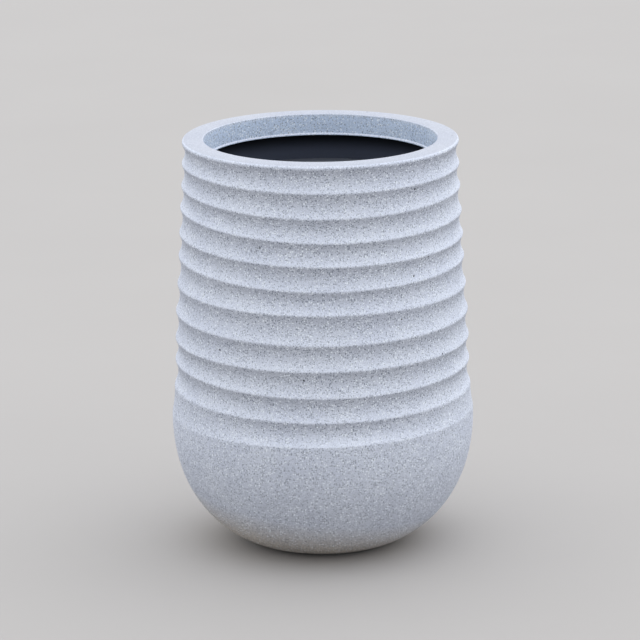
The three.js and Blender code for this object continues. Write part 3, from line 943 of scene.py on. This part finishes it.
steel_dark = (0.46, 0.47, 0.48, 1)
steel_light = (0.62, 0.63, 0.64, 1)
mark_stretch = (60, 2600, 60)
steel, steel_tree, steel_shader = new_material("pin_steel")
turning = add_node(steel_tree, "ShaderNodeMapping")
feed(steel_tree, turning.inputs["Vector"], object_place(steel_tree))
feed(steel_tree, turning.inputs["Scale"], mark_stretch)
tool_marks = noise(steel_tree, turning.outputs["Vector"], scale=1, detail=3)
steel_colour = tinted(steel_tree, tool_marks, steel_dark, steel_light)
steel_gloss = ranged(steel_tree, tool_marks, 0.3, 0.7, 0.22, 0.38)
feed(steel_tree, steel_shader.inputs["Metallic"], 1.0)
feed(steel_tree, steel_shader.inputs["Base Color"], steel_colour)
feed(steel_tree, steel_shader.inputs["Roughness"], steel_gloss)
roughen(steel_tree, steel_shader, tool_marks, strength=0.2, distance=0.00005)
first_pin.data.materials.append(steel)

for side_name in ("left", "right"):
    for end_name, end in (("front", -1), ("back", 1)):
        node = f"handle_pin_{side_name}_{end_name}"
        pin_low, pin_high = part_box(node)
        pin = copied(first_pin, f"hinge_pin_{side_name}_{end_name}", (0, 0, 0))
        quarter_turn = end * math.pi / 2
        bpy.ops.transform.rotate(value=quarter_turn, orient_axis="X", center_override=(0, 0, 0))
        inner_end = pin_low.y if end > 0 else pin_high.y
        middle_x = (pin_low.x + pin_high.x) / 2
        bpy.ops.transform.translate(value=(middle_x, inner_end, pivot_level))
        bpy.ops.object.transform_apply(location=True, rotation=True, scale=True)
        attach(pin, "liner")
        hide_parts(node)
bpy.data.objects.remove(first_pin)


# Studio. The pot stands in soft light from above on a plain pale floor, and the camera has the photo's
# long lens, height and slight tilt.
floor_radius = 9.0
floor_turns = 96
floor_dark = (0.416, 0.396, 0.387, 1)
floor_light = (0.436, 0.416, 0.407, 1)
bpy.ops.object.select_all(action="DESELECT")
bpy.ops.mesh.primitive_circle_add(
    vertices=floor_turns, radius=floor_radius, fill_type="NGON", location=(0, 0, 0)
)
floor = bpy.context.object
floor.name = floor.data.name = "studio_floor"
pale_floor, floor_tree, floor_shader = new_material("pale_floor")
floor_clouds = noise(floor_tree, object_place(floor_tree), scale=3, detail=4)
floor_colour = tinted(floor_tree, floor_clouds, floor_dark, floor_light)
feed(floor_tree, floor_shader.inputs["Base Color"], floor_colour)
feed(floor_tree, floor_shader.inputs["Roughness"], 0.9)
floor.data.materials.append(pale_floor)

# An overcast sky: brightest overhead, a little stronger from behind and from the right, with a soft
# glow low down at both sides
sky_colour = (0.955, 0.98, 1.0, 1)
sky = bpy.data.worlds.new("soft_sky")
sky.use_nodes = True
bpy.context.scene.world = sky
sky_tree = sky.node_tree
sky_light = sky_tree.nodes["Background"]
toward = axes(sky_tree, add_node(sky_tree, "ShaderNodeTexCoord").outputs["Generated"])
overcast = ranged(sky_tree, toward["Z"], 0.0, 1.0, 0.59, 1.77)
from_right = ranged(sky_tree, toward["X"], -1.0, 1.0, 0.86, 1.15)
from_behind = ranged(sky_tree, toward["Y"], -1.0, 1.0, 0.75, 1.25)
uneven = combined(sky_tree, "MULTIPLY", from_right, from_behind)
sideways = combined(sky_tree, "MULTIPLY", toward["X"], toward["X"])
low_down = ranged(sky_tree, toward["Z"], 0.0, 1.0, 0.58, 0.0)
low_sides = combined(sky_tree, "MULTIPLY", sideways, low_down)
overhead = combined(sky_tree, "MULTIPLY", overcast, uneven)
sky_glow = combined(sky_tree, "ADD", overhead, low_sides)
feed(sky_tree, sky_light.inputs["Color"], sky_colour)
feed(sky_tree, sky_light.inputs["Strength"], sky_glow)

camera_place = Vector((-0.0024, -4.5115, 1.4347))
camera_pitch = math.radians(75.493)
camera_roll = math.radians(-0.55)
camera_data = bpy.data.cameras.new("photo_camera")
camera_data.sensor_width = 36.0
camera_data.lens = 219.97
camera_data.clip_end = 100.0
camera = bpy.data.objects.new("photo_camera", camera_data)
camera.matrix_world = (
    Matrix.Translation(camera_place)
    @ Matrix.Rotation(camera_pitch, 4, "X")
    @ Matrix.Rotation(camera_roll, 4, "Z")
)
bpy.context.scene.collection.objects.link(camera)
bpy.context.scene.camera = camera
bpy.context.scene.view_settings.view_transform = "Standard"
